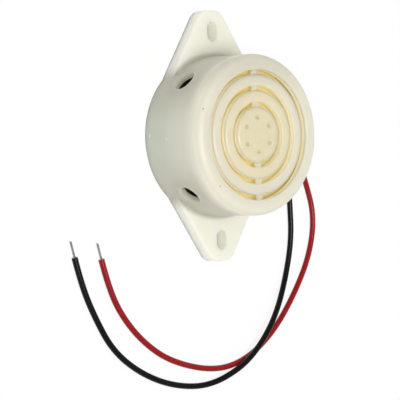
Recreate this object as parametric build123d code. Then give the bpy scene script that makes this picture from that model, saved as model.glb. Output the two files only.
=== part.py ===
from build123d import *
from math import asin, cos, sin, tan, pi, radians, sqrt
import os

# Sounder with two mounting ears, a slotted front and two flying leads. Millimetres.
# It rests on its back: +Z is the way the sound leaves, the ears point along +Y and -Y,
# and the leads leave at +X. The origin is the centre of the back face.

# Moulded housing
body_r = 15.0            # outer radius where the front rounding starts
body_draft = 0.3         # how much wider the wall is at the back
body_h = 15.0            # back face to the front of the rim
front_round = 1.5        # rounding of the front outer edge
wall_t = 1.2             # side wall, just below the front rounding
plate_t = 1.0            # thickness of the slotted front plate
plate_drop = 0.4         # how far the plate's face lies below the rim
lip_round = 0.25         # rounding of the slot edges

# Slotted front plate
slot_w = 0.85            # width of each ring slot
slot_pitch = 3.0         # step from one ring slot to the next
rim_w = 2.9              # from the outer radius in to the outermost slot
slot_count = 3
rib_w = 1.1              # the two straight ribs that carry the rings
rib_drop = 0.2           # ribs lie this far below the rings
sound_hole_d = 0.8       # small holes in the middle disc
sound_hole_ring_r = 3.2
sound_hole_count = 6

# Mounting ears
ear_hole_spacing = 40.0  # between the two slot centres
ear_tip_out = 4.15       # from the slot's centre to the tip
ear_side_out = 4.2       # from the slot's centre to each sloping side
ear_side_in = 0.4        # each side, drawn on, would pass this far inside the wall
ear_corner_r = 3.0       # the two corners of the tip
ear_t = 2.8
ear_slot_w = 2.4
ear_slot_l = 3.7         # end to end, along Y
ear_edge_round = 0.4
ear_root_round = 1.2     # blend between an ear and the wall
ear_root_sink = 0.05     # the blend starts this far inside the wall
ear_wall_blend_r = 1.0   # hollow rounding between the ear's face and the wall

# Side ports, two on each side of the wall
port_d = 4.35
port_z = 6.7
port_angle = 45.0        # from the X axis, degrees

# Back cover
cover_t = 1.2
cover_inset = 0.2        # the cover lies this far inside the back face
cover_step_w = 0.6       # width of the step that the cover sits against
cover_gap = 0.1          # all round, between the cover and the housing
post_d = 2.2
post_edge_in = 2.8       # from the board's edge in to the posts' centres
post_angles = (35.0, 125.0, 235.0, 325.0)

# Lead exit
notch_w = 3.5
notch_top = 2.9
tongue_gap = 0.1         # between the cover's tongue and the notch, each side
tongue_inset = 0.2       # the tongue ends this far inside the wall's outside
join = 0.2               # shapes of one moulding run this far into each other

# Sounding disc, stuck under a ledge behind the front plate
disc_gap = 0.3           # all round, between the disc and the bore
disc_t = 0.2
ledge_depth = 1.0        # plate's back to the disc's front
ledge_w = 1.1            # how far the ledge stands in from the bore
ceramic_r = 9.9
ceramic_t = 0.2
electrode_r = 9.1
electrode_t = 0.05
tongue_w = 2.6           # feedback area of the electrode
tongue_start = 2.2       # its inner end, from the centre
tongue_split = 0.5       # bare ceramic between the two areas
bead_w = 0.8
bead_h = 0.6

# Circuit board
board_gap = 0.6          # all round, between the board and the bore
board_t = 1.0
board_z = 3.6            # back of the board
stop_w = 1.4             # four stops in the housing that the board's front meets
stop_depth = 1.3
stop_top_gap = 0.6       # stops end this far below the bead
pad_hole_r = 0.4
wire_r = 0.25            # component legs
leg_out = 0.9            # legs stand this far out of the back of the board
solder_r = 0.8
solder_h = 0.6

# Choke
choke_at = (-5.2, 4.2)
choke_r = 3.1
choke_h = 6.0
choke_flange_t = 0.8
choke_core_r = 1.4
choke_turns = 9          # turns that show in the top layer
choke_wound_r = 2.5
choke_pin_pitch = 3.0

# Transistor
transistor_at = (4.4, 5.4)
transistor_w = 4.6
transistor_d = 3.6
transistor_h = 4.6
transistor_lift = 1.3    # board to the bottom of the case
transistor_pitch = 1.27

# Resistors, three alike
resistor_names = ("bias", "base", "feedback")
resistor_y = (-3.4, -6.2, -9.0)
resistor_l = 3.6
resistor_r = 0.9
resistor_waist = 0.15
resistor_lift = 0.2
resistor_pitch = 6.4
leg_bend_r = 0.6

# Thin wires from the disc to the board
link_r = 0.22
link_bend_r = 1.0
link_dot_r = 0.6
link_dot_h = 0.45
brass_link_angle = -31.6 # where the brass is soldered, between the ceramic and the bead
brass_pad_angle = -45.7
brass_pad_edge_in = 1.7  # from the board's edge in to this pad
main_dot = (3.2, -6.6)
feedback_dot = (7.0, 0.0)
main_pad = (6.2, -7.6)
feedback_pad = (9.6, -2.2)

# Flying leads
lead_d = 1.15
lead_z = 2.1             # height of the leads in the notch
lead_pair = 0.8          # half the distance between the two leads in the notch
strand_d = 0.4
strand_l = 3.2
lead_start_in = 2.6      # the insulation begins this far inside the body's radius
tail_reach = 2.0         # from there to where the bare tails meet the board
tail_level_l = 0.8       # straight stretch of a tail before it bends
tail_dome_r = 0.72       # solder round the end of a tail

# Sizes that follow
back_r = body_r + body_draft
bore_r = body_r - wall_t
slot_outer_r = body_r - rim_w
disc_r = bore_r - disc_gap
board_r = bore_r - board_gap
post_ring_r = board_r - post_edge_in
lead_start_x = body_r - lead_start_in
tail_pad_x = lead_start_x - tail_reach
rest_z = lead_d / 2
face_z = body_h - plate_drop
plate_back = face_z - plate_t
disc_front = plate_back - ledge_depth
disc_back = disc_front - disc_t
ceramic_back = disc_back - ceramic_t
electrode_back = ceramic_back - electrode_t
board_front = board_z + board_t
recess_r = bore_r + cover_step_w
cover_front = cover_inset + cover_t
ear_y = ear_hole_spacing / 2
bead_in_r = disc_r - bead_w
brass_dot_r = (ceramic_r + bead_in_r) / 2
brass_pad_r = board_r - brass_pad_edge_in
leg_end = board_z - leg_out


def on_circle(radius, angle):
    """The place at this radius and angle, in degrees from the X axis."""
    return radius * cos(radians(angle)), radius * sin(radians(angle))


def wall_radius(z):
    """Outer radius of the drafted side wall at this height."""
    return back_r - body_draft * z / body_h


def slot_edges(index):
    """Outer and inner radius of a ring slot, counted from the outside."""
    outer = slot_outer_r - index * slot_pitch
    return outer, outer - slot_w


def disc(radius, height, at=(0, 0), z=0):
    """A plain upright cylinder standing on z."""
    base = Location((at[0], at[1], z))
    return base * Cylinder(radius, height, align=(Align.CENTER, Align.CENTER, Align.MIN))


def turned(*outline):
    """A closed outline in the XZ plane, given as lines and arcs, turned about Z."""
    return revolve(Plane.XZ * make_face(Curve() + list(outline)), Axis.Z)


def rounded_ring(inner, outer, bottom, top, rounding):
    """A flat ring, or a disc where inner is 0, whose top edges are rounded."""
    ring = disc(outer, top - bottom, z=bottom)
    if inner > 0:
        ring -= disc(inner, top - bottom, z=bottom)
    top_edges = ring.edges().filter_by(GeomType.CIRCLE).group_by(Axis.Z)[-1]
    return fillet(top_edges, rounding)


def tube(points, radius, bends):
    """A round wire along straight runs joined by arcs."""
    path = FilletPolyline(*points, radius=bends)
    section = Plane(origin=path @ 0, z_dir=path % 0) * Circle(radius)
    return sweep(section, path=path)


def ear_outline():
    """One ear's plan: a blunt tip with two round corners, and sides that slope in to the body."""
    reach = wall_radius(ear_t) - ear_side_in
    slope = asin((reach - ear_side_out) / ear_y)
    side = Vector(sin(slope), -cos(slope))
    root = Vector(cos(slope), sin(slope)) * reach
    tip_y = ear_y + ear_tip_out
    corner = root + side * ((tip_y - root.Y) / side.Y)
    half = [Vector(corner.X, tip_y), Vector(root.X, root.Y)]
    plan = Polyline(*half, *[Vector(-p.X, p.Y) for p in reversed(half)], close=True)
    face = make_face(plan)
    tips = [v for v in face.vertices() if abs(v.Y - tip_y) < 0.001]
    return fillet(tips, ear_corner_r)


def ear_plate():
    """Both ears as one plate through the body, blended into the wall and soft at the front edge."""
    ear = ear_outline()
    wall_r = wall_radius(ear_t) - ear_root_sink
    plan = Circle(wall_r) + ear + ear.rotate(Axis.Z, 180)
    on_wall = [v for v in plan.vertices() if abs(sqrt(v.X ** 2 + v.Y ** 2) - wall_r) < 0.001]
    roots = [v for v in on_wall if abs(v.Y) > ear_side_out]
    plate = extrude(fillet(roots, ear_root_round), ear_t)
    return fillet(plate.edges().group_by(Axis.Z)[-1], ear_edge_round)


def ear_wall_blend():
    """The hollow rounding where an ear's face meets the wall, over both ears."""
    low = wall_radius(ear_t)
    high = wall_radius(ear_t + ear_wall_blend_r)
    centre = Vector(low + ear_wall_blend_r, ear_t + ear_wall_blend_r)
    middle = centre - Vector(1, 1) * (ear_wall_blend_r * sin(radians(45)))
    ring = turned(
        Line((high - join, ear_t - join), (centre.X, ear_t - join)),
        Line((centre.X, ear_t - join), (centre.X, ear_t)),
        ThreePointArc((centre.X, ear_t), (middle.X, middle.Y), (high, centre.Y)),
        Line((high, centre.Y), (high - join, centre.Y)),
        Line((high - join, centre.Y), (high - join, ear_t - join)),
    )
    flat = offset(ear_outline(), -ear_edge_round)
    over = extrude(flat + flat.rotate(Axis.Z, 180), ear_t + ear_wall_blend_r)
    return ring & over


def outer_body():
    """The drafted outside of the housing, closed, with its ears."""
    wall_top = body_h - front_round
    wall_r = wall_radius(wall_top)
    crown = (wall_r - front_round * (1 - cos(radians(45))), wall_top + front_round * sin(radians(45)))
    profile = [
        Line((0, 0), (back_r, 0)),
        Line((back_r, 0), (wall_r, wall_top)),
        ThreePointArc((wall_r, wall_top), crown, (wall_r - front_round, body_h)),
        Line((wall_r - front_round, body_h), (0, body_h)),
        Line((0, body_h), (0, 0)),
    ]
    return turned(*profile) + ear_plate() + ear_wall_blend()


def front_opening():
    """What is cut through the front before the rings go in: a round hole with a soft lip."""
    hole = disc(slot_outer_r, body_h, z=plate_back)
    lip = slot_outer_r + lip_round
    foot = body_h - lip_round
    middle = (lip - lip_round * sin(radians(45)), body_h - lip_round + lip_round * cos(radians(45)))
    soft = turned(
        Line((0, foot), (slot_outer_r, foot)),
        ThreePointArc((slot_outer_r, foot), middle, (lip, body_h)),
        Line((lip, body_h), (0, body_h)),
        Line((0, body_h), (0, foot)),
    )
    return hole + soft


def front_rings():
    """Middle disc and rings of the front plate, held by one rib above and one below."""
    edges = [slot_edges(i) for i in range(slot_count)]
    rings = rounded_ring(0, edges[-1][1], plate_back, face_z, lip_round)
    for index in range(slot_count - 1):
        ring_outer = edges[index][1]
        ring_inner = edges[index + 1][0]
        rings += rounded_ring(ring_inner, ring_outer, plate_back, face_z, lip_round)
    rib_top = face_z - rib_drop
    rib_in = edges[-1][1] - join
    rib_out = slot_outer_r + join
    for side in (1, -1):
        middle = Location((0, side * (rib_in + rib_out) / 2, (plate_back + rib_top) / 2))
        rings += middle * Box(rib_w, rib_out - rib_in, rib_top - plate_back)
    return rings


def sound_holes():
    """Small holes round the middle disc, the first one towards the +Y ear."""
    hole = disc(sound_hole_d / 2, plate_t * 3, z=plate_back - plate_t)
    return [loc * hole for loc in PolarLocations(sound_hole_ring_r, sound_hole_count, start_angle=90)]


def inside():
    """The hollow of the housing: cover recess, bore and the chamber before the disc."""
    hollow = disc(recess_r, cover_front)
    hollow += disc(bore_r, disc_front)
    hollow += disc(bore_r - ledge_w, plate_back)
    return hollow


def port(angle):
    """A round port through the side wall."""
    drill = Rot(0, 90, 0) * Cylinder(port_d / 2, back_r, align=(Align.CENTER, Align.CENTER, Align.MIN))
    return Pos(0, 0, port_z) * Rot(0, 0, angle) * drill


def lead_notch():
    """The notch at the back of the wall that lets the leads out."""
    length = back_r - bore_r + 2
    return Pos(bore_r - 1 + length / 2, 0, notch_top / 2) * Box(length, notch_w, notch_top)


def board_stop(angle):
    """A rib on the inside of the wall whose back end stops the board."""
    top = disc_back - bead_h - stop_top_gap
    reach = stop_depth + join
    middle = Pos(bore_r - stop_depth + reach / 2, 0, (board_front + top) / 2)
    return Rot(0, 0, angle) * middle * Box(reach, stop_w, top - board_front)


def ear_slot(side):
    """A screw slot through an ear."""
    slot = SlotOverall(ear_slot_l, ear_slot_w, rotation=90)
    return Pos(0, side * ear_y, -1) * extrude(slot, ear_t + 2)


def housing():
    body = outer_body()
    body -= inside()
    body -= front_opening()
    body += front_rings()
    for hole in sound_holes():
        body -= hole
    for side in (1, -1):
        body -= ear_slot(side)
    for angle in (port_angle, 180 - port_angle, 180 + port_angle, -port_angle):
        body -= port(angle)
    for angle in (0, 90, 180, 270):
        body += board_stop(angle)
    return body - lead_notch()


def back_cover():
    cover = disc(recess_r - cover_gap, cover_t, z=cover_inset)
    cover = chamfer(cover.edges().group_by(Axis.Z)[0], cover_gap * 2)
    tongue_l = back_r - tongue_inset - bore_r + 1
    tongue_at = Pos(bore_r - 1 + tongue_l / 2, 0, cover_inset + cover_t / 2)
    cover += tongue_at * Box(tongue_l, notch_w - 2 * tongue_gap, cover_t)
    for angle in post_angles:
        at = on_circle(post_ring_r, angle)
        cover += disc(post_d / 2, board_z - cover_front + join, at, cover_front - join)
    return cover


def feedback_area(grow):
    """Plan of the feedback electrode, or of the gap round it where grow is more than 0."""
    length = electrode_r * 2 - tongue_start
    strip = Pos(tongue_start - grow + length / 2, 0, 0) * Box(length, tongue_w + 2 * grow, electrode_t)
    nose = Pos(tongue_start, 0, 0) * Cylinder(tongue_w / 2 + grow, electrode_t)
    return Pos(0, 0, electrode_back + electrode_t / 2) * (strip + nose)


def main_electrode():
    return disc(electrode_r, electrode_t, z=electrode_back) - feedback_area(tongue_split)


def feedback_electrode():
    return disc(electrode_r, electrode_t, z=electrode_back) & feedback_area(0)


def diaphragm_bead():
    """Soft bead of adhesive on the rim of the disc's back."""
    middle = (disc_r - bead_w / 2, disc_back - bead_h)
    return turned(
        Line((bead_in_r, disc_back), (disc_r, disc_back)),
        ThreePointArc((disc_r, disc_back), middle, (bead_in_r, disc_back)),
    )


def leg_places():
    """Every place where a component leg goes through the board."""
    places = [(choke_at[0] + s * choke_pin_pitch / 2, choke_at[1]) for s in (-1, 1)]
    places += [(transistor_at[0] + s * transistor_pitch, transistor_at[1]) for s in (-1, 0, 1)]
    places += [(s * resistor_pitch / 2, y) for y in resistor_y for s in (-1, 1)]
    return places


def circuit_board():
    board = disc(board_r, board_t, z=board_z)
    for place in leg_places():
        board -= disc(pad_hole_r, board_t, place, board_z)
    return board


def solder_cone(place):
    """A cone of solder on the back of the board round a leg."""
    cone = Pos(place[0], place[1], board_z - solder_h / 2) * Cone(pad_hole_r, solder_r, solder_h)
    return cone - disc(wire_r, solder_h, place, board_z - solder_h)


def lead_tail(route):
    """The bare inner end of a lead, bent up to the board."""
    start = Vector(route[0])
    along = (start - Vector(route[1])).normalized()
    level = start + along * tail_level_l
    end = Vector(tail_pad_x, start.Y, board_z - solder_h / 2)
    return tube([start, level, end], strand_d / 2, [strand_d * 2])


def tail_solder(route):
    """A dome of solder under the board, round the end of a tail."""
    pad = Pos(tail_pad_x, route[0][1], board_z)
    hang = (Align.CENTER, Align.CENTER, Align.MAX)
    below = Box(tail_dome_r * 3, tail_dome_r * 3, tail_dome_r * 2, align=hang)
    return pad * (Sphere(tail_dome_r) & below) - lead_tail(route)


def board_solder():
    joints = [solder_cone(place) for place in leg_places()]
    joints += [tail_solder(route) for route in (black_route, red_route)]
    return Compound(children=joints)


def straight_leg(place, top):
    """A straight leg from top down through the board."""
    return disc(wire_r, top - leg_end, place, leg_end)


def choke_core():
    low = board_front
    core = disc(choke_r, choke_flange_t, choke_at, low)
    core += disc(choke_core_r, choke_h, choke_at, low)
    core += disc(choke_r, choke_flange_t, choke_at, low + choke_h - choke_flange_t)
    return core


def choke_winding():
    """Enamelled wire on the core: its top layer shows as rounded turns."""
    low = board_front + choke_flange_t
    high = board_front + choke_h - choke_flange_t
    step = (high - low) / choke_turns
    crest = choke_wound_r + step / 2
    profile = [
        Line((choke_core_r, high), (choke_core_r, low)),
        Line((choke_core_r, low), (choke_wound_r, low)),
    ]
    for turn in range(choke_turns):
        z = low + turn * step
        profile.append(ThreePointArc((choke_wound_r, z), (crest, z + step / 2), (choke_wound_r, z + step)))
    profile.append(Line((choke_wound_r, high), (choke_core_r, high)))
    return Pos(choke_at[0], choke_at[1], 0) * turned(*profile)


def choke_pins():
    places = leg_places()[:2]
    return Compound(children=[straight_leg(place, board_front) for place in places])


def transistor_body():
    """A round-backed case with a flat front."""
    half = transistor_w / 2
    stand = (Align.CENTER, Align.CENTER, Align.MIN)
    keep = Pos(0, half - transistor_d / 2, 0) * Box(transistor_w, transistor_d, transistor_h, align=stand)
    case = Cylinder(half, transistor_h, align=stand) & keep
    return Pos(transistor_at[0], transistor_at[1], board_front + transistor_lift) * case


def transistor_legs():
    places = leg_places()[2:5]
    return Compound(children=[straight_leg(place, board_front + transistor_lift) for place in places])


def resistor_body(y):
    """A coated body, fatter at its two ends."""
    half = resistor_l / 2
    cap = resistor_l / 4
    neck = resistor_r - resistor_waist
    profile = [
        Line((0, -half), (resistor_r * 0.6, -half)),
        Line((resistor_r * 0.6, -half), (resistor_r, -half + resistor_r * 0.4)),
        Line((resistor_r, -half + resistor_r * 0.4), (resistor_r, -half + cap)),
        Line((resistor_r, -half + cap), (neck, -half + cap * 1.3)),
        Line((neck, -half + cap * 1.3), (neck, half - cap * 1.3)),
        Line((neck, half - cap * 1.3), (resistor_r, half - cap)),
        Line((resistor_r, half - cap), (resistor_r, half - resistor_r * 0.4)),
        Line((resistor_r, half - resistor_r * 0.4), (resistor_r * 0.6, half)),
        Line((resistor_r * 0.6, half), (0, half)),
        Line((0, half), (0, -half)),
    ]
    return Pos(0, y, resistor_height()) * Rot(0, 90, 0) * turned(*profile)


def resistor_height():
    return board_front + resistor_lift + resistor_r


def resistor_legs(y):
    """Two wires, out of the ends of the body, bent down through the board."""
    legs = []
    for side in (-1, 1):
        start = (side * resistor_l / 2, y, resistor_height())
        corner = (side * resistor_pitch / 2, y, resistor_height())
        end = (side * resistor_pitch / 2, y, leg_end)
        legs.append(tube([start, corner, end], wire_r, [leg_bend_r]))
    return Compound(children=legs)


def link_wire(pad, dot, dot_z):
    """A thin wire that stands up from the board and loops over to its dot on the disc."""
    low = board_front + link_dot_h
    high = dot_z - link_dot_h
    rise = (high - low) / 3
    from_board = [(pad[0], pad[1], low), (pad[0], pad[1], low + rise)]
    to_disc = [(dot[0], dot[1], high - rise), (dot[0], dot[1], high)]
    return tube(from_board + to_disc, link_r, [link_bend_r, link_bend_r])


def dot_on_disc(place, z):
    """A flat drop of solder on the back of the disc."""
    return Pos(place[0], place[1], z - link_dot_h / 2) * Cone(link_r * 1.5, link_dot_r, link_dot_h)


def dot_on_board(place):
    return Pos(place[0], place[1], board_front + link_dot_h / 2) * Cone(link_dot_r, link_r * 1.5, link_dot_h)


def brass_ends():
    """Where the brass disc's wire meets the board and the disc."""
    return on_circle(brass_pad_r, brass_pad_angle), on_circle(brass_dot_r, brass_link_angle)


def link_solder():
    brass_pad, brass_dot = brass_ends()
    drops = [dot_on_disc(brass_dot, disc_back)]
    drops += [dot_on_disc(place, electrode_back) for place in (main_dot, feedback_dot)]
    drops += [dot_on_board(place) for place in (brass_pad, main_pad, feedback_pad)]
    return Compound(children=drops)


# Centre lines of the two leads, from inside the notch to the end of the insulation.
# They leave the notch level, sink to the table and lie there in one loose bow each;
# the black one climbs over the red one where they cross.
black_route = [
    (lead_start_x, -lead_pair, lead_z), (15.6, -0.86, lead_z), (18.7, -2.6, 1.6), (20.1, -7.4, 0.8),
    (20.6, -14.4, rest_z), (20.6, -22.0, rest_z), (18.4, -30.4, rest_z), (15.3, -36.2, 2.05),
    (10.2, -41.6, 2.15), (4.2, -45.4, 2.05), (-3.0, -48.3, rest_z), (-11.5, -47.0, rest_z),
    (-19.2, -43.5, rest_z), (-25.6, -38.2, rest_z), (-29.4, -31.2, rest_z), (-31.8, -25.2, rest_z),
    (-32.95, -20.3, rest_z),
]
red_route = [
    (lead_start_x, lead_pair, lead_z), (15.6, 0.86, lead_z), (19.2, -0.4, 1.5), (22.8, -4.8, 0.8),
    (25.3, -10.2, rest_z), (27.4, -17.6, rest_z), (25.6, -25.4, rest_z), (21.0, -33.0, rest_z),
    (12.6, -39.9, rest_z), (4.6, -46.2, rest_z), (-3.9, -44.6, rest_z), (-12.0, -42.1, rest_z),
    (-18.7, -37.5, rest_z), (-23.5, -31.6, rest_z), (-26.0, -25.8, rest_z), (-27.12, -21.2, rest_z),
]
bend_share = 0.45        # part of the shorter run that each bend uses


def bend_radii(route):
    """The largest bend at each inner point that its two runs leave room for."""
    points = [Vector(p) for p in route]
    radii = []
    for before, here, after in zip(points, points[1:], points[2:]):
        turn = radians((here - before).get_angle(after - here))
        shorter = min((here - before).length, (after - here).length)
        radii.append(bend_share * shorter / tan(turn / 2))
    return radii


def lead(name, route):
    radii = bend_radii(route)
    print(name, "bend radii", [round(r, 1) for r in radii])
    wire = tube(route, lead_d / 2, radii)
    path = FilletPolyline(*route, radius=radii)
    share = wire.volume / (pi * (lead_d / 2) ** 2 * path.length)
    print(name, "length", round(path.length, 1), "volume over section x length", round(share, 4))
    return wire


def stripped_end(route):
    """The bare tinned strands at the free end, in line with the last run, with a soft tip."""
    end = Vector(route[-1])
    along = (end - Vector(route[-2])).normalized()
    stand = (Align.CENTER, Align.CENTER, Align.MIN)
    strand = Plane(origin=end, z_dir=along) * Cylinder(strand_d / 2, strand_l, align=stand)
    tip = strand.edges().sort_by_distance(end + along * strand_l)[0]
    return fillet(tip, strand_d * 0.3)


def parts():
    """Every piece by its name."""
    brass_pad, brass_dot = brass_ends()
    made = {
        "housing": housing(),
        "back_cover": back_cover(),
        "diaphragm": disc(disc_r, disc_t, z=disc_back),
        "piezo_ceramic": disc(ceramic_r, ceramic_t, z=ceramic_back),
        "main_electrode": main_electrode(),
        "feedback_electrode": feedback_electrode(),
        "diaphragm_bead": diaphragm_bead(),
        "circuit_board": circuit_board(),
        "board_solder": board_solder(),
        "choke_core": choke_core(),
        "choke_winding": choke_winding(),
        "choke_pins": choke_pins(),
        "transistor_body": transistor_body(),
        "transistor_legs": transistor_legs(),
        "link_solder": link_solder(),
        "brass_wire": link_wire(brass_pad, brass_dot, disc_back),
        "main_wire": link_wire(main_pad, main_dot, electrode_back),
        "feedback_wire": link_wire(feedback_pad, feedback_dot, electrode_back),
        "black_lead": lead("black_lead", black_route),
        "red_lead": lead("red_lead", red_route),
        "black_lead_end": stripped_end(black_route),
        "red_lead_end": stripped_end(red_route),
        "black_lead_tail": lead_tail(black_route),
        "red_lead_tail": lead_tail(red_route),
    }
    for name, y in zip(resistor_names, resistor_y):
        made[name + "_resistor"] = resistor_body(y)
        made[name + "_resistor_legs"] = resistor_legs(y)
    return made


os.makedirs("parts", exist_ok=True)
for node, piece in parts().items():
    export_step(piece, "parts/" + node + ".step")
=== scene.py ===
import bpy
from math import cos, sin, pi
from mathutils import Matrix, Vector


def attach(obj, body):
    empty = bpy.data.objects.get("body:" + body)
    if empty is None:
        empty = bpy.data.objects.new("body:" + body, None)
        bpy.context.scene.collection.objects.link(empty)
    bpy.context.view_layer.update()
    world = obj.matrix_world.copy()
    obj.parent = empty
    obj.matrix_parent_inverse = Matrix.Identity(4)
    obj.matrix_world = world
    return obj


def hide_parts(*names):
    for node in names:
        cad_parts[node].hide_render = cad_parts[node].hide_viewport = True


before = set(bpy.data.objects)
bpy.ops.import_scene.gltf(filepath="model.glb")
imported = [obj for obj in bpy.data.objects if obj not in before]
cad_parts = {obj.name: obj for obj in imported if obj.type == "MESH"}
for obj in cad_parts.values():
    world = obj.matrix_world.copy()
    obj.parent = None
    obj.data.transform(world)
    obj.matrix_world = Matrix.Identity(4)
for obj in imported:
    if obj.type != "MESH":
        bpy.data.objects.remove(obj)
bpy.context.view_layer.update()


# Housing: the shell, one injection moulding of cream ABS with both ears, the slotted front and the
# side ports. The tool was spark-eroded, so the skin has a very fine grain and a soft gloss. The thin
# front is painted warmer than the wall, as painted light from the brass disc close behind it.
class Shade:
    """A socket of a material that adds, subtracts, multiplies and divides as a number does."""

    def __init__(self, tree, socket=None):
        self.tree = tree
        self.socket = socket

    def put(self, kind, settings=None, inputs=None, output=0):
        """A node of any type: its settings first, then the values or links of its sockets."""
        node = self.tree.nodes.new("ShaderNode" + kind)
        for name, value in (settings or {}).items():
            setattr(node, name, value)
        for name, value in (inputs or {}).items():
            if isinstance(value, Shade):
                self.tree.links.new(value.socket, node.inputs[name])
            else:
                node.inputs[name].default_value = value
        return Shade(self.tree, node.outputs[output] if node.outputs else None)

    def maths(self, operation, *others):
        """This socket, and others or numbers, through a Math node."""
        return self.put("Math", {"operation": operation}, dict(enumerate((self,) + others)))

    def __add__(self, other):
        return self.maths("ADD", other)

    def __radd__(self, other):
        return self.maths("ADD", other)

    def __sub__(self, other):
        return self.maths("SUBTRACT", other)

    def __rsub__(self, other):
        return self.put("Math", {"operation": "SUBTRACT"}, {0: other, 1: self})

    def __mul__(self, other):
        return self.maths("MULTIPLY", other)

    def __rmul__(self, other):
        return self.maths("MULTIPLY", other)

    def __truediv__(self, other):
        return self.maths("DIVIDE", other)

    def __rtruediv__(self, other):
        return self.put("Math", {"operation": "DIVIDE"}, {0: other, 1: self})

    def step(self, low, high):
        """0 below low and 1 above high, with a soft step between them."""
        settings = {"interpolation_type": "SMOOTHSTEP"}
        return self.put("MapRange", settings, {0: self, 1: low, 2: high, 3: 0.0, 4: 1.0})

    def mix(self, bare, covered):
        """This socket as a mask between two colours."""
        settings = {"data_type": "RGBA", "blend_type": "MIX"}
        return self.put("Mix", settings, {0: self, 6: bare, 7: covered}, output=2)


mm = 0.001


def tint(red, green, blue):
    """A colour as it looks on a screen, 0 to 255, in the linear values that a shader takes."""
    parts = [c / 255 for c in (red, green, blue)]
    return [c / 12.92 if c <= 0.04045 else ((c + 0.055) / 1.055) ** 2.4 for c in parts] + [1.0]


def blank(name):
    """An empty material, and the place on the object in millimetres."""
    made = bpy.data.materials.new(name)
    made.use_nodes = True
    made.node_tree.nodes.clear()
    start = Shade(made.node_tree)
    at = start.put("TexCoord", output="Object")
    return made, start.put("VectorMath", {"operation": "SCALE"}, {0: at, "Scale": 1 / mm})


def axes(place):
    """The three coordinates of a place."""
    return [place.put("SeparateXYZ", {}, {0: place}, output=i) for i in range(3)]


def speckle(place, per_mm, detail=3.0, rough=0.55):
    """Noise with about this many blotches in a millimetre."""
    return place.put("TexNoise", {}, {
        "Vector": place, "Scale": per_mm, "Detail": detail, "Roughness": rough,
    })


def distance(place, spot):
    """How far each point is from a spot, in millimetres."""
    return place.put("VectorMath", {"operation": "DISTANCE"}, {0: place, 1: spot}, output=1)


def near(place, spot, radius):
    """A soft round mark, 1 at the spot and 0 beyond the radius."""
    return 1 - distance(place, spot).step(radius * 0.4, radius)


def relief(height, strength, depth, under=None):
    """Bump from a height, on top of another bump if there is one under it."""
    inputs = {"Height": height, "Strength": strength, "Distance": depth * mm}
    if under is not None:
        inputs["Normal"] = under
    return height.put("Bump", {}, inputs)


def close(place, inputs):
    """The main shader and the output of a material."""
    place.put("OutputMaterial", {}, {0: place.put("BsdfPrincipled", {}, inputs)})


def dress(finish, *nodes):
    """Puts a finish on CAD nodes."""
    for node in nodes:
        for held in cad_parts[node].material_slots:
            held.material = finish


def cream(place, plain, cloudy):
    """The tone of cream plastic, with slow clouds from the flow of the melt."""
    return speckle(place, 0.22, 2.0).step(0.3, 0.7).mix(plain, cloudy)


def cream_skin(place, tone, dull, under=None, painted_glow=None):
    """The skin of cream plastic: few flecks, eroded grain, a slow wave, light spreading in it, and any
    painted glow.
    """
    flecks = speckle(place, 3.5, 2.0, 0.7).step(0.735, 0.78)
    grain = relief(speckle(place, 7.0, 3.0, 0.6), 0.1, 0.02, under)
    close(place, {
        "Base Color": (flecks * 0.12).mix(tone, tint(206, 196, 164)),
        "Roughness": speckle(place, 1.3) * 0.06 + dull,
        "Normal": relief(speckle(place, 0.2, 1.0), 0.05, 0.25, grain),
        "IOR": 1.5,
        "Subsurface Weight": 1.0,
        "Subsurface Radius": (1.0, 0.96, 0.85),
        "Subsurface Scale": 0.003,
        **(painted_glow or {}),
    })


# Sizes of the housing, in millimetres
bore_r = 13.8
wall_r = 15.0
port_z = 6.7
port_side = 10.7
port_shade_r = 5.2
ear_slot_y = 20.0
# Radius of the painted glow round each ear slot
ear_painted_glow_r = 2.7
ring_pitch = 3.0
middle_disc_r = 5.25
outer_ring_r = 11.25
crown_w = 0.75
crown_h = 0.4

# Heights, widths and radii over which each tone or mark comes in
wall_z = (3.5, 11.5)
shoulder_z = (10.5, 13.5)
rim_z = (13.6, 14.4)
flank_y = (2.5, 10.5)
top_flank_z = (12.5, 13.5)
top_flank_y = (6.0, 14.0)
ear_r = (15.25, 16.4)
ear_face_z = (2.2, 2.8)
plate_z = (13.2, 14.4)
plate_r = (6.0, 12.0)
slot_floor_z = (11.0, 11.8)
slot_mouth_z = (14.0, 14.5)
slot_end_r = (12.1, 12.5)
slot_side_x = (2.0, 9.0)
ring_face_z = (13.9, 14.1)
rounding_r = (12.3, 13.2)
rounding_z = (11.0, 13.5)

wall_cream = tint(225, 223, 206)
painted_light_shoulder_cream = tint(238, 234, 217)
rim_cream = tint(222, 219, 202)
painted_shade_flank_cream = tint(194, 190, 174)
painted_light_ear_face_cream = tint(239, 236, 221)
painted_light_ear_edge_cream = tint(244, 242, 228)
painted_warm_plate_cream = tint(225, 215, 184)
painted_light_slot_cream = tint(244, 238, 214)
painted_glow_cream = tint(246, 242, 222)

made, place = blank("housing_plastic")
x, y, z = axes(place)
out = (x * x + y * y).maths("SQRT")
# Painted shade: darker and cooler towards the back, rising to the wall's plain tone towards the front
tone = cream(place, tint(206, 210, 195), tint(202, 206, 190))
tone = z.step(*wall_z).mix(tone, wall_cream)
# Painted shade: the flanks towards +Y and -Y darker
tone = (y.maths("ABSOLUTE").step(*flank_y) * 0.8).mix(tone, painted_shade_flank_cream)
# Painted light: a lighter band where the wall rounds into the front
tone = z.step(*shoulder_z).mix(tone, painted_light_shoulder_cream)
tone = z.step(*rim_z).mix(tone, rim_cream)
# Painted shade: the top flank darker still near the front
tone = (z.step(*top_flank_z) * y.step(*top_flank_y) * 0.5).mix(tone, painted_shade_flank_cream)
# Painted light: the ears lighter than the wall, their edges lighter still
tone = out.step(*ear_r).mix(tone, z.step(*ear_face_z).mix(painted_light_ear_edge_cream, painted_light_ear_face_cream))
# Painted warm light from the brass disc behind the thin front plate
tone = (z.step(*plate_z) * (1 - out.step(*plate_r))).mix(tone, painted_warm_plate_cream)

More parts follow.
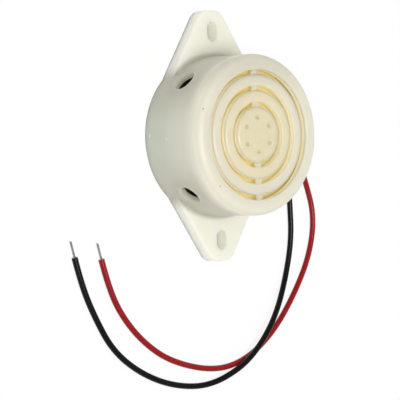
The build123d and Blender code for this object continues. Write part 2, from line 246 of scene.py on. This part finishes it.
# Light spots, the shade round each port, and dark specks
for spot in ((-15.3, 0.7, 1.4), (-15.2, 0.0, 6.2)):
    tone = (near(place, spot, 0.4) * 0.7).mix(tone, tint(232, 233, 222))
for across in (-port_side, port_side):
    for along in (-port_side, port_side):
        shade = near(place, (across, along, port_z), port_shade_r)
        tone = (shade * 0.25).mix(tone, tint(156, 151, 134))
for spot in ((-13.3, 5.2, 14.8), (-10.3, -8.9, 15.0)):
    tone = (near(place, spot, 0.22) * 0.6).mix(tone, tint(96, 88, 74))

# Painted light and painted glow: a lighter tone inside the ring slots, and a glow there, in the walls of
# the ports and round the ear slots
deep = z.step(*slot_floor_z) * (1 - z.step(*slot_mouth_z)) * (1 - out.step(*slot_end_r))
tone = deep.mix(tone, painted_light_slot_cream)
in_wall = out.step(bore_r + 0.04, bore_r + 0.1) * (1 - out.step(wall_r - 0.02, wall_r + 0.05))
at_port = z.step(port_z - 2.7, port_z - 2.3) * (1 - z.step(port_z + 2.3, port_z + 2.7))
# Painted glow: stronger in the slots towards both sides, and more towards +X
painted_side_glow = x.maths("ABSOLUTE").step(*slot_side_x) * 0.2 + x.step(*slot_side_x) * 0.1
painted_glow_mask = (deep * (painted_side_glow + 0.33)).maths("MAXIMUM", in_wall * at_port * 0.5)
for end in (-ear_slot_y, ear_slot_y):
    painted_glow_mask = painted_glow_mask.maths("MAXIMUM", near(place, (0.0, end, 0.4), ear_painted_glow_r) * 0.27)

# Outer edges of the middle disc and the rings, slightly crowned
inset = ring_pitch - ((out - middle_disc_r) / ring_pitch).maths("FRACT") * ring_pitch
fall = (1 - inset / crown_w).maths("MAXIMUM", 0.0)
inner_end = middle_disc_r - ring_pitch
on_rings = out.step(inner_end + 0.05, inner_end + 0.15) * z.step(*ring_face_z)
on_rings = on_rings * (1 - out.step(outer_ring_r + 0.05, outer_ring_r + 0.15))
crown = relief(1 - fall * fall * on_rings, 1.0, crown_h)

cream_skin(
    place,
    tone,
    dull=out.step(*rounding_r) * z.step(*rounding_z) * 0.1 + 0.28,
    under=crown,
    # Painted glow in the ring slots, the port walls and round the ear slots
    painted_glow={"Emission Color": painted_glow_mask.mix(tint(0, 0, 0), painted_glow_cream), "Emission Strength": 0.3},
)
dress(made, "housing")


# Sounding disc: rolled brass sheet, 0.2 mm thick, glued under a ledge behind the front plate.
# It shows through the ring slots as a bright yellow, with the fine lines of its rolling and a faint
# painted glow.
made, place = blank("disc_brass")
lines = place.put("VectorMath", {"operation": "MULTIPLY"}, {0: place, 1: (0.25, 9.0, 1.0)})
rolled = speckle(lines, 1.0, 3.0, 0.6)
stain = speckle(place, 0.18, 3.0).step(0.45, 0.75)
brass = rolled.mix(tint(240, 220, 144), tint(247, 232, 168))
brass = (stain * 0.3).mix(brass, tint(226, 192, 112))
close(place, {
    "Base Color": brass,
    "Metallic": 0.5,
    "Roughness": 0.34 + rolled * 0.16,
    "Normal": relief(rolled, 0.25, 0.01),
    # Painted glow: the brass gives off a faint light of its own colour
    "Emission Color": brass,
    "Emission Strength": 0.06,
})
dress(made, "diaphragm")


# Piezo ceramic: a thin plate of lead zirconate titanate, pressed and fired, pale grey-cream and
# slightly grainy. It is bonded to the middle of the brass and bends it when it is driven.
made, place = blank("piezo_ceramic")
grain = speckle(place, 5.0, 4.0, 0.65)
cloud = speckle(place, 0.3, 2.0)
fired = cloud.step(0.3, 0.7).mix(tint(214, 205, 182), tint(203, 194, 170))
fired = grain.step(0.62, 0.75).mix(fired, tint(178, 168, 146))
close(place, {"Base Color": fired, "Roughness": 0.62 + grain * 0.2, "Normal": relief(grain, 0.35, 0.02)})
dress(made, "piezo_ceramic")


# Electrodes: silver paste, screen printed on the ceramic and fired, with the mesh's faint
# weave in it. The narrow tongue is the feedback area.
mesh_wave = 38.0
made, place = blank("silver")
x, y = axes(place)[:2]
mesh = (x * mesh_wave).maths("SINE") * (y * mesh_wave).maths("SINE") * 0.5 + 0.5
worn = speckle(place, 0.8, 4.0, 0.6)
silver = worn.mix(tint(196, 194, 186), tint(222, 220, 214))
silver = (worn.step(0.6, 0.8) * 0.5).mix(silver, tint(170, 160, 140))
close(place, {
    "Base Color": silver,
    "Metallic": 0.85,
    "Roughness": 0.42 + worn * 0.2,
    "Normal": relief(mesh * 0.6 + worn * 0.4, 0.3, 0.008),
})
dress(made, "main_electrode", "feedback_electrode")


# Adhesive bead: milky silicone, run by hand round the rim of the disc once it lies on its ledge,
# so it is slightly uneven. It holds the disc and seals the chamber behind the front.
made, place = blank("bead_silicone")
run = speckle(place, 0.9, 2.0)
milk = run.mix(tint(222, 222, 214), tint(206, 207, 200))
close(place, {
    "Base Color": milk,
    "Roughness": 0.22 + run * 0.15,
    "Normal": relief(run, 0.5, 0.15),
    "Subsurface Weight": 0.4,
    "Subsurface Radius": (1.0, 0.9, 0.8),
    "Subsurface Scale": 0.001,
})
dress(made, "diaphragm_bead")


# Circuit board: glass-epoxy laminate with a green solder mask on both faces, resting on the posts
# of the back cover. The copper on its back, one island round each joint, shows lighter through
# the mask.
board_back = 3.6
board_r = 13.15
mask_r = 12.2
glass_wave = 16.0
choke_pads = [(-6.7, 4.2), (-3.7, 4.2)]
transistor_pads = [(3.13, 5.4), (4.4, 5.4), (5.67, 5.4)]
lead_pads = [(10.4, -0.8), (10.4, 0.8)]
resistor_pads = [(side, row) for row in (-3.4, -6.2, -9.0) for side in (-3.2, 3.2)]

made, place = blank("board")
x, y, z = axes(place)
out = (x * x + y * y).maths("SQRT")
glass = (x * glass_wave).maths("SINE") * (y * glass_wave).maths("SINE")
green = (glass * 0.5 + 0.5).mix(tint(16, 66, 34), tint(20, 76, 40))

# One copper island round each pad, with a gap where two pads are equally far away
pads = choke_pads + transistor_pads + lead_pads + resistor_pads
away = [distance(place, (*pad, board_back)) for pad in pads]
nearest = away[0].maths("MINIMUM", away[1])
second = away[0].maths("MAXIMUM", away[1])
for reach in away[2:]:
    second = second.maths("MINIMUM", nearest.maths("MAXIMUM", reach))
    nearest = nearest.maths("MINIMUM", reach)
on_back = (1 - z.step(board_back + 0.1, board_back + 0.3)) * (1 - out.step(mask_r, mask_r + 0.15))
island = (second - nearest).step(0.42, 0.5) * on_back
green = (island * 0.8).mix(green, tint(46, 122, 62))

edge = out.step(board_r, board_r + 0.03)
close(place, {
    "Base Color": edge.mix(green, tint(44, 58, 30)),
    "Roughness": 0.3 + edge * 0.4 + speckle(place, 2.0) * 0.1,
    "Normal": relief(glass * 0.3 + island, 0.3, 0.03),
})
dress(made, "circuit_board")


# Solder: tin alloy, melted by hand over each leg, wire end and tail. It is bright where it wetted
# and dull with flux at the foot of each joint.
made, place = blank("solder")
frost = speckle(place, 3.0, 4.0, 0.6)
tin = frost.mix(tint(186, 188, 190), tint(214, 215, 214))
flux = speckle(place, 1.1, 2.0).step(0.58, 0.72)
tin = (flux * 0.4).mix(tin, tint(150, 128, 84))
close(place, {
    "Base Color": tin,
    "Metallic": 0.95 - flux * 0.4,
    "Roughness": 0.2 + frost * 0.22,
    "Normal": relief(frost, 0.3, 0.03),
})
dress(made, "board_solder", "link_solder")


# Choke: a pressed ferrite bobbin, dark grey and matt, wound with enamelled copper wire whose
# turns lie side by side, and standing on two tinned pins.
made, place = blank("ferrite")
pressed = speckle(place, 6.0, 4.0, 0.7)
grit = pressed.mix(tint(48, 47, 48), tint(68, 66, 66))
close(place, {
    "Base Color": pressed.step(0.66, 0.74).mix(grit, tint(96, 92, 90)),
    "Roughness": 0.6 + pressed * 0.2,
    "Normal": relief(pressed, 0.5, 0.03),
})
dress(made, "choke_core")

turn_wave = 14.0
turn_lean = 0.6
made, place = blank("enamelled_copper")
x, y, z = axes(place)
lay = (z * turn_wave + (x + y) * turn_lean).maths("SINE") * 0.5 + 0.5
varnish = speckle(place, 1.5, 3.0)
copper = varnish.mix(tint(168, 84, 38), tint(196, 108, 52))
# Painted shade in the grooves between the turns
copper = (1 - lay).step(0.55, 1.0).mix(copper, tint(96, 42, 20))
close(place, {
    "Base Color": copper,
    "Metallic": 0.7,
    "Roughness": 0.24 + varnish * 0.14,
    "Coat Weight": 0.6,
    "Coat Roughness": 0.1,
    "Normal": relief(lay, 0.6, 0.05),
})
dress(made, "choke_winding")


# Legs and pins: drawn copper wire, tinned, with fine lines along it. They stand in the holes of
# the board, are soldered at its back and cut off under it.
made, place = blank("tinned_leg")
drawn = speckle(place, 8.0, 3.0, 0.6)
plating = drawn.mix(tint(176, 176, 174), tint(206, 206, 202))
dull = speckle(place, 1.2, 2.0).step(0.5, 0.75)
close(place, {
    "Base Color": (dull * 0.4).mix(plating, tint(136, 134, 128)),
    "Metallic": 1.0,
    "Roughness": 0.28 + drawn * 0.18,
    "Normal": relief(drawn, 0.2, 0.01),
})
dress(made, "choke_pins", "transistor_legs")
dress(made, "bias_resistor_legs", "base_resistor_legs", "feedback_resistor_legs")


# Transistor: black epoxy moulded round its three legs, matt, with a fine eroded skin and a
# paler line where the mould parted.
parting_z = 8.2
made, place = blank("case_black")
z = axes(place)[2]
skin = speckle(place, 6.0, 3.0, 0.65)
parting = 1 - (z - parting_z).maths("ABSOLUTE").step(0.03, 0.09)
epoxy = skin.mix(tint(30, 30, 31), tint(44, 44, 45))
close(place, {
    "Base Color": (parting * 0.6).mix(epoxy, tint(72, 71, 70)),
    "Roughness": 0.45 + skin * 0.2,
    "Normal": relief(skin + parting, 0.35, 0.03),
})
dress(made, "transistor_body")


# Resistors: carbon film rods with a sand-coloured lacquer, dipped, with painted value bands.
# The three bodies lie along X, so a band is a range of x.
bands = (
    (-1.25, tint(120, 66, 30)),
    (-0.45, tint(24, 22, 22)),
    (0.25, tint(204, 92, 28)),
    (1.2, tint(186, 150, 60)),
)
made, place = blank("resistor_coat")
x = axes(place)[0]
dip = speckle(place, 1.6, 2.0)
coat = dip.mix(tint(214, 188, 140), tint(202, 174, 124))
for middle, paint in bands:
    band = 1 - (x - middle + dip * 0.08).maths("ABSOLUTE").step(0.15, 0.19)
    coat = band.mix(coat, paint)
close(place, {
    "Base Color": coat,
    "Roughness": 0.26 + dip * 0.14,
    "Coat Weight": 0.4,
    "Coat Roughness": 0.12,
    "Normal": relief(dip, 0.35, 0.05),
})
dress(made, "bias_resistor", "base_resistor", "feedback_resistor")


# Link wires: three fine flexible wires in thin plastic covers. They are soldered to the brass and
# to the two silver areas, and join them to the board.
made, place = blank("link_insulation")
skin = speckle(place, 2.5, 3.0)
cover = skin.mix(tint(196, 190, 176), tint(178, 171, 156))
close(place, {"Base Color": cover, "Roughness": 0.34 + skin * 0.16, "Normal": relief(skin, 0.3, 0.03)})
dress(made, "brass_wire", "main_wire", "feedback_wire")


# Back cover: a flat disc of the same cream plastic with four posts that carry the board, pressed
# into the step at the back of the housing. Its tongue closes the lead notch under the leads.
made, place = blank("cover_plastic")
cream_skin(place, cream(place, tint(231, 227, 208), tint(226, 221, 202)), dull=0.28)
dress(made, "back_cover")


# Leads: stranded hook-up wire, 1.15 mm over soft PVC, one black and one red. They leave through
# the notch side by side, sink to the table and lie in one bow each. The black one passes over
# the red one at the lower right.
lead_d = 1.15
rest_z = lead_d / 2
black_route = [
    (12.4, -0.8, 2.1), (15.6, -0.86, 2.1), (18.7, -2.6, 1.6), (20.1, -7.4, 0.8),
    (20.6, -14.4, rest_z), (20.6, -22.0, rest_z), (18.2, -30.4, rest_z), (13.9, -36.7, 2.0),
    (9.4, -41.9, 2.15), (4.2, -45.7, 1.95), (-3.0, -48.3, rest_z), (-11.5, -47.0, rest_z),
    (-19.2, -43.5, rest_z), (-25.6, -38.2, rest_z), (-29.4, -31.2, rest_z), (-31.8, -25.2, rest_z),
    (-32.95, -20.3, rest_z),
]
red_route = [
    (12.4, 0.8, 2.1), (15.6, 0.86, 2.1), (19.2, -0.4, 1.5), (22.8, -4.8, 0.8),
    (25.3, -10.2, rest_z), (27.4, -17.6, rest_z), (25.6, -25.4, rest_z), (21.0, -32.8, rest_z),
    (14.6, -40.0, rest_z), (6.9, -44.6, rest_z), (-1.4, -45.6, rest_z), (-12.0, -42.3, rest_z),
    (-18.7, -37.5, rest_z), (-23.5, -31.6, rest_z), (-26.0, -25.8, rest_z), (-27.12, -21.2, rest_z),
]


def pvc(name, dark, light, dust, gloss):
    """Soft extruded PVC: smooth and glossy, with slow waves from the die and a little dust."""
    made, place = blank(name)
    die = speckle(place, 1.1, 2.0)
    fine = speckle(place, 9.0, 2.0, 0.6)
    tone = die.step(0.3, 0.7).mix(dark, light)
    close(place, {
        "Base Color": (fine.step(0.68, 0.76) * 0.3).mix(tone, dust),
        "Roughness": 0.2 + die * 0.12,
        "Normal": relief(die * 0.8 + fine * 0.2, 0.2, 0.05),
        "IOR": 1.45,
        "Specular IOR Level": gloss,
    })
    return made


def cord_line(name, finish, radius, roundness):
    """An empty round line in space, with its finish, and the object that shows it."""
    line = bpy.data.curves.new(name, "CURVE")
    line.dimensions = "3D"
    line.bevel_depth = radius * mm
    line.bevel_resolution = roundness
    line.use_fill_caps = True
    line.materials.append(finish)
    piece = bpy.data.objects.new(name, line)
    bpy.context.scene.collection.objects.link(piece)
    return line, piece


def flex(name, route, finish):
    """One lead's cover, round, along one smooth line through its route."""
    line, piece = cord_line(name, finish, lead_d / 2, 7)
    line.resolution_u = 12
    run = line.splines.new("NURBS")
    run.points.add(len(route) - 1)
    for point, at in zip(run.points, route):
        point.co = (*(c * mm for c in at), 1.0)
    run.order_u = 3
    run.use_endpoint_u = True
    return piece


black_pvc = pvc("lead_black", tint(4, 3, 2), tint(8, 6, 5), tint(40, 37, 34), 0.22)
red_pvc = pvc("lead_red", tint(154, 14, 22), tint(138, 10, 17), tint(178, 64, 58), 0.3)
black_lead = flex("black_flex", black_route, black_pvc)
red_lead = flex("red_flex", red_route, red_pvc)


# Bare ends: seven tinned copper strands, twisted together and dipped in solder. At the free end
# 3.2 mm of them stand out of each lead, and inside, a tail of them is bent up to the board.
bundle_d = 0.4
strand_d = bundle_d / 3
strand_l = 3.2
strand_twist = 2.6
strand_tuck = 0.15
strand_uneven = 0.09
strand_swell = 1.04

tinned_strand, place = blank("tinned_strand")
dip = speckle(place, 4.0, 3.0, 0.6)
tin = dip.mix(tint(128, 127, 122), tint(172, 171, 166))
dull = speckle(place, 0.9, 2.0).step(0.45, 0.7)
close(place, {
    "Base Color": (dull * 0.5).mix(tin, tint(104, 102, 98)),
    "Metallic": 1.0,
    "Roughness": 0.3 + dip * 0.2,
    "Normal": relief(dip, 0.4, 0.02),
})
dress(tinned_strand, "black_lead_tail", "red_lead_tail")


def twisted_end(name, route):
    """Six strands twisted round one, in line with the lead's last run."""
    end = Vector(route[-1])
    along = (end - Vector(route[-2])).normalized()
    side = along.cross(Vector((0, 0, 1))).normalized()
    rise = side.cross(along).normalized()
    line, piece = cord_line(name, tinned_strand, strand_d / 2 * strand_swell, 3)
    steps = 26
    for strand in range(7):
        run = line.splines.new("POLY")
        run.points.add(steps)
        off = 0.0 if strand == 0 else strand_d
        reach = strand_l + strand_tuck - strand_uneven * abs((strand * 5) % 7 - 3)
        for i, point in enumerate(run.points):
            go = reach * i / steps - strand_tuck
            turn = 2 * pi * (strand / 6 + go / strand_twist)
            at = end + along * go + side * (off * cos(turn)) + rise * (off * sin(turn))
            point.co = (*(c * mm for c in at), 1.0)
            point.radius = 1.0 if i < steps else 0.6
    return piece


leads = (("black", black_lead, black_route, 0.1083), ("red", red_lead, red_route, 0.1072))
for colour, lead, route, length in leads:
    bare = twisted_end(colour + "_strands", route)
    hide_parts(colour + "_lead")
    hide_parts(colour + "_lead_end")
    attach(lead, "root")
    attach(bare, "root")
    "lead_" + colour
    tuple(c * mm for c in route[0])


# Table: a wide white sheet that the piece and its leads lie on. Seen straight by the camera it is
# almost pure white, and the piece still leaves its soft shadow on it.
table_half = 1.5
corners = [(-table_half, -table_half, 0), (table_half, -table_half, 0)]
corners += [(table_half, table_half, 0), (-table_half, table_half, 0)]
table_mesh = bpy.data.meshes.new("table")
table_mesh.from_pydata(corners, [], [(0, 1, 2, 3)])
table = bpy.data.objects.new("table", table_mesh)
bpy.context.scene.collection.objects.link(table)
made, place = blank("white_table")
paper = place.put("BsdfDiffuse", {}, {"Color": tint(250, 250, 249)})
white = place.put("Emission", {}, {"Color": (1.0, 1.0, 1.0, 1.0), "Strength": 1.0})
camera_ray = place.put("LightPath", output="Is Camera Ray")
glossy_ray = place.put("LightPath", output="Is Glossy Ray")
seen = camera_ray.maths("MAXIMUM", glossy_ray) * 0.88
place.put("OutputMaterial", {}, {0: place.put("MixShader", {}, {0: seen, 1: paper, 2: white})})
table_mesh.materials.append(made)


# Light: an even white room, and one soft round lamp above the piece, a little to the left of it,
# that brings out the rounding of the front and the rings.
world = bpy.data.worlds.new("soft_room")
bpy.context.scene.world = world
world.use_nodes = True
room = world.node_tree.nodes["Background"]
room.inputs["Color"].default_value = (1.0, 1.0, 1.0, 1.0)
room.inputs["Strength"].default_value = 0.58

lamp_at = Vector((-0.13, -0.07, 0.53))
lamp = bpy.data.lights.new("key_lamp", "AREA")
lamp.shape = "DISK"
lamp.size = 0.22
lamp.energy = 1.58
lamp_stand = bpy.data.objects.new("key_lamp", lamp)
lamp_stand.location = lamp_at
lamp_stand.rotation_euler = (-lamp_at).to_track_quat("-Z", "Y").to_euler()
bpy.context.scene.collection.objects.link(lamp_stand)


# Camera: the place from which the piece was seen, up and to the left of it and 0.26 m away. Its
# place, turn and focal length were fitted to the rims, the ring slots, the ears and the leads.
focal_px = 1341.2841
picture_px = 400.0
sensor_mm = 36.0
right = Vector((0.76548189, -0.04676409, 0.64175588))
up = Vector((0.07148216, 0.99736246, -0.01258665))
back = Vector((-0.63947462, 0.05550895, 0.76680569))
camera_at = Vector((-0.16829138, 0.00224904, 0.19856020))
lens = bpy.data.cameras.new("camera")
lens.sensor_width = sensor_mm
lens.lens = focal_px * sensor_mm / picture_px
lens.clip_start = 0.01
camera = bpy.data.objects.new("camera", lens)
turn = Matrix((right, up, back)).transposed().to_4x4()
camera.matrix_world = Matrix.Translation(camera_at) @ turn
bpy.context.scene.collection.objects.link(camera)
bpy.context.scene.camera = camera

bpy.context.scene.view_settings.view_transform = "Standard"
